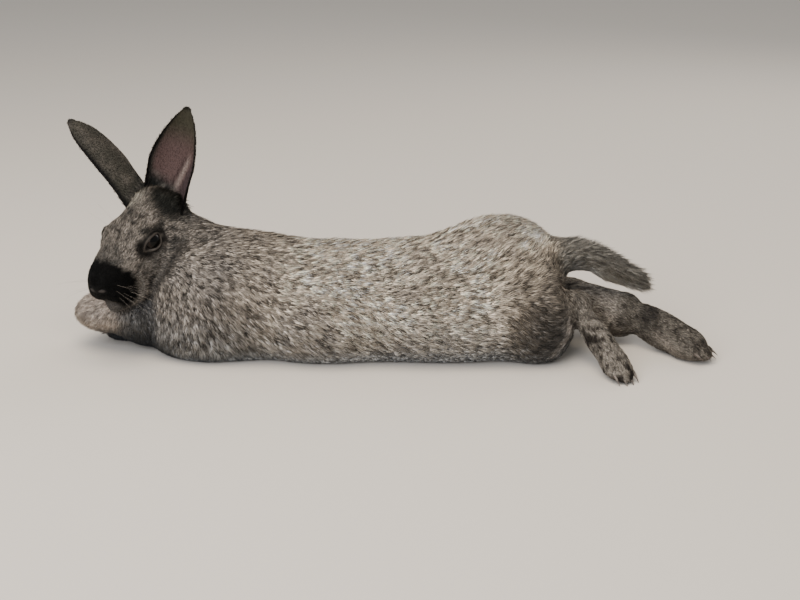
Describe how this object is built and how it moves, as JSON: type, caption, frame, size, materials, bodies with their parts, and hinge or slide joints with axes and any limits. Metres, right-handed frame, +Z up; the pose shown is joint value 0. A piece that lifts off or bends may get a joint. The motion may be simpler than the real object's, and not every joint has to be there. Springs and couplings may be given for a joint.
{
  "type": "rabbit lying stretched on its belly",
  "caption": "Life-size rabbit resting on its belly, head turned to one side with the chin on its dewlap, forelegs tucked under and hind feet kicked out behind; a still model.",
  "frame": {"origin": "on the floor, under the middle of the model's box", "axes": "+X from the nose end to the hind feet, -Y to the rabbit's left side, where it faces, +Z up"},
  "size_m": [0.5932, 0.188, 0.2245],
  "materials": {
    "coat": "dense silver-grey ticked fur over a blue-grey undercoat",
    "ear_coat": "very short dark fur, thin pinkish-brown skin inside",
    "pale_coat": "soft pale grey-beige fur of the dewlap",
    "eye": "wet dark brown eye with a near-black pupil",
    "claw": "smooth dark horn"
  },
  "bodies": {
    "root": {"claw_fore_left_1": "claw", "claw_fore_left_2": "claw", "claw_fore_left_3": "claw", "claw_fore_left_4": "claw", "claw_fore_right_1": "claw", "claw_fore_right_2": "claw", "claw_fore_right_3": "claw", "claw_fore_right_4": "claw", "claw_hind_left_1": "claw", "claw_hind_left_2": "claw", "claw_hind_left_3": "claw", "claw_hind_left_4": "claw", "claw_hind_right_1": "claw", "claw_hind_right_2": "claw", "claw_hind_right_3": "claw", "claw_hind_right_4": "claw", "dewlap": "pale_coat", "ear_left": "ear_coat", "ear_right": "ear_coat", "eye_left": "eye", "eye_right": "eye", "forearm_left": "coat", "forearm_right": "coat", "forepaw_left": "coat", "forepaw_right": "coat", "head": "coat", "hind_foot_left": "coat", "hind_foot_right": "coat", "neck": "coat", "shank_left": "coat", "shank_right": "coat", "tail": "coat", "thigh_left": "coat", "thigh_right": "coat", "trunk": "coat"}
  },
  "joints": []
}
